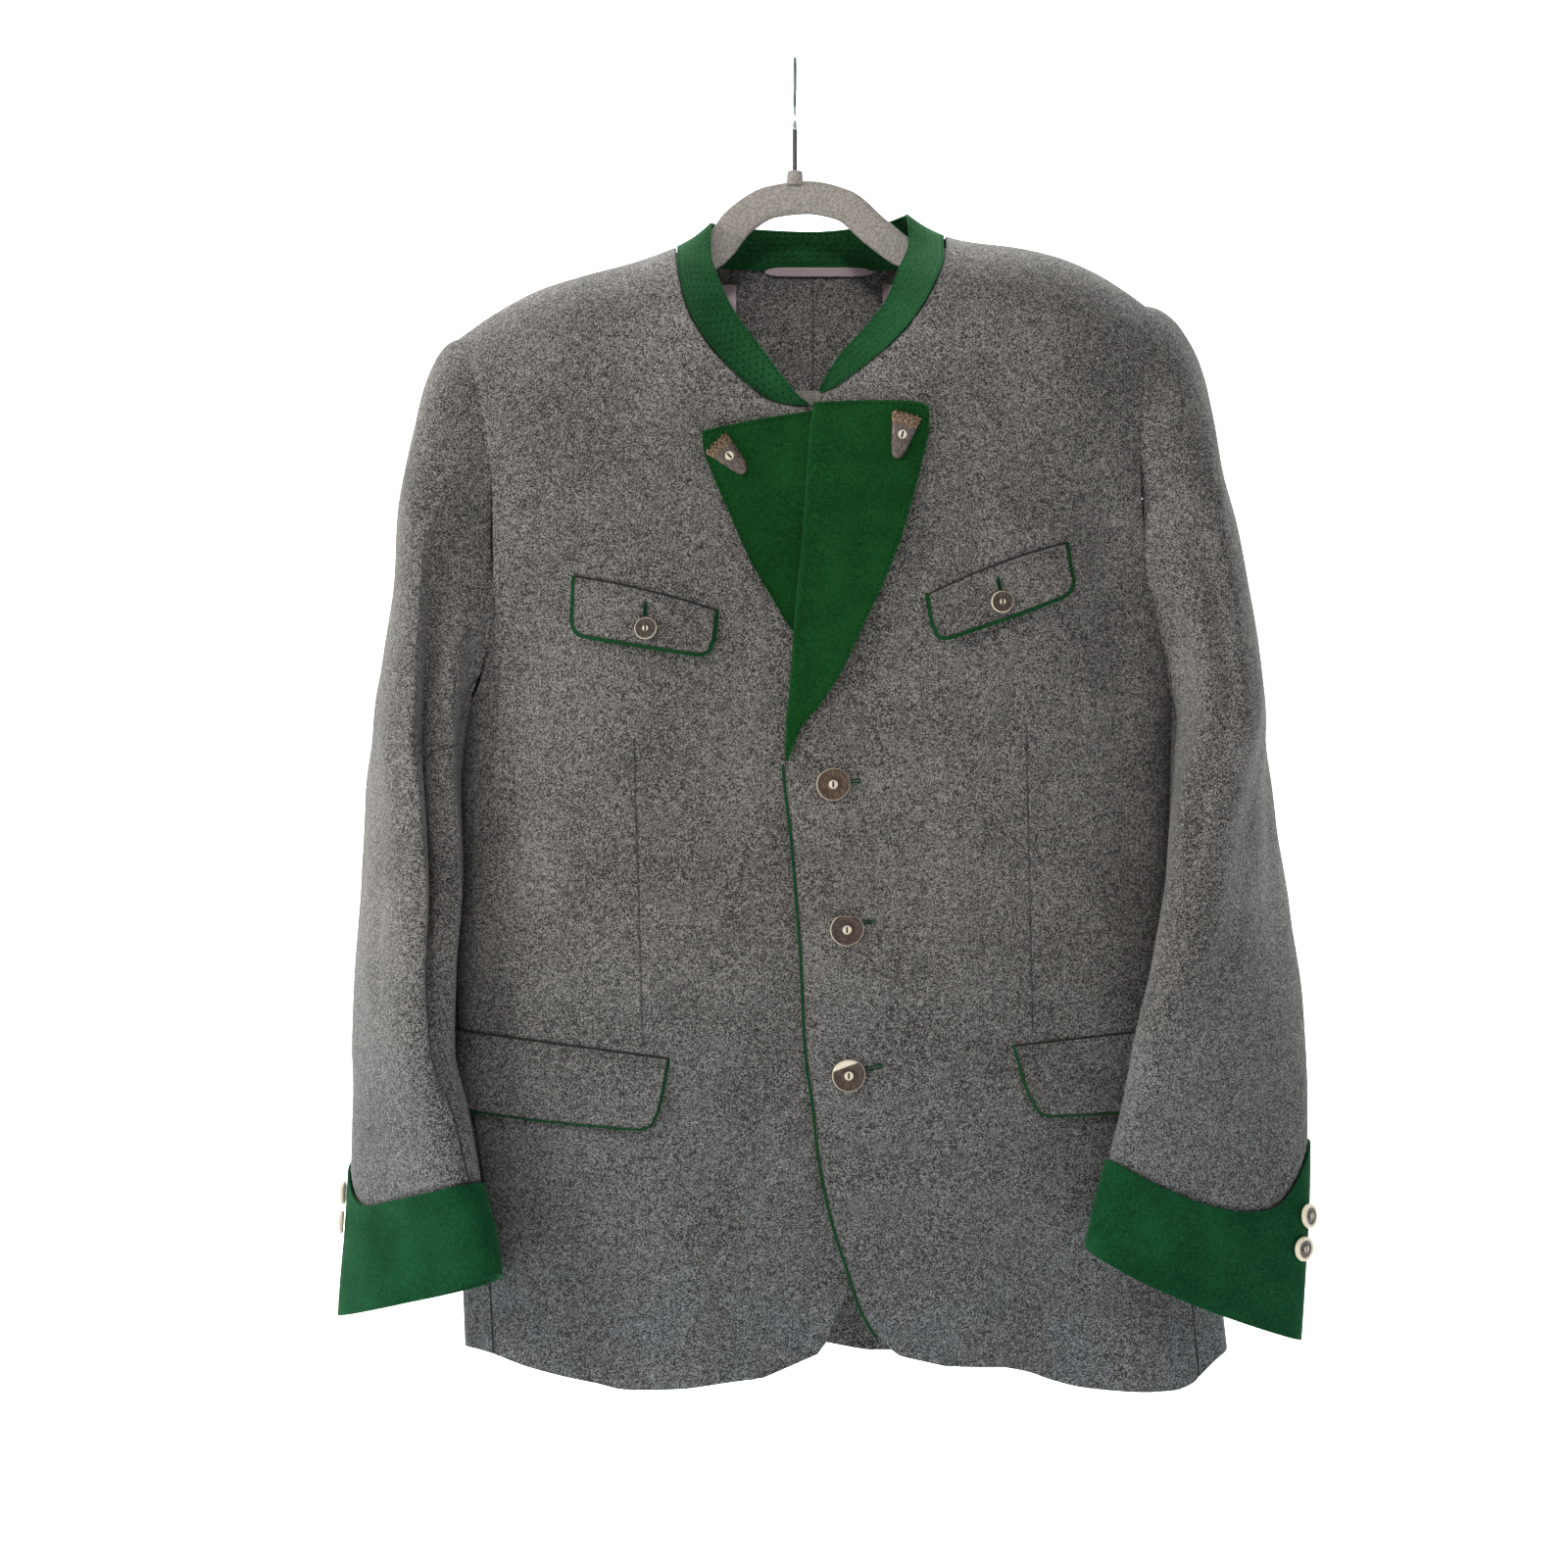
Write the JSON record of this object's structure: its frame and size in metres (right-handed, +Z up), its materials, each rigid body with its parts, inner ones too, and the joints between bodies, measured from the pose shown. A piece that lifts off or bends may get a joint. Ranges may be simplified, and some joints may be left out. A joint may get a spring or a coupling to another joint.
{
  "type": "tyrolean loden jacket on a clothes hanger",
  "caption": "Grey loden jacket with a green stand collar, green lapels and cuffs and horn buttons, hanging open at the neck on a slim hanger with a wire hook.",
  "frame": {"origin": "underside of the hanger hook's crown, where a rail carries it", "axes": "+Z up, +X to the wearer's left, the jacket's front faces -Y, and the rail runs along X"},
  "size_m": [0.6599, 0.1546, 0.9086],
  "materials": {
    "loden": "matt napped wool melange",
    "green_cloth": "matt felted wool",
    "green_piping": "matt felted wool edging",
    "lining": "smooth lining satin",
    "horn": "grained brown antler with cream edge, half matt",
    "flocking": "velvet flocked hanger",
    "hook_wire": "bright wire"
  },
  "bodies": {
    "root": {"hanger_body": "flocking", "hanger_hook": "hook_wire", "front_right": "loden", "front_left": "loden", "side_right": "loden", "side_left": "loden", "back_right": "loden", "back_left": "loden", "sleeve_top_right": "loden", "sleeve_top_left": "loden", "sleeve_under_right": "loden", "sleeve_under_left": "loden", "cuff_right": "green_cloth", "cuff_left": "green_cloth", "collar": "green_cloth", "lapel_right": "green_cloth", "lapel_left": "green_cloth", "flap_chest_right": "loden", "flap_chest_left": "loden", "flap_hip_right": "loden", "flap_hip_left": "loden", "piping_chest_right": "green_piping", "piping_chest_left": "green_piping", "piping_hip_right": "green_piping", "piping_hip_left": "green_piping", "edge_piping": "green_piping", "hanging_tape": "lining", "lining_right": "lining", "lining_left": "lining", "button_front_1": "horn", "button_front_2": "horn", "button_front_3": "horn", "button_chest_right": "horn", "button_chest_left": "horn", "button_cuff_right_1": "horn", "button_cuff_right_2": "horn", "button_cuff_left_1": "horn", "button_cuff_left_2": "horn", "button_lapel_right": "horn", "button_lapel_left": "horn"}
  },
  "joints": []
}
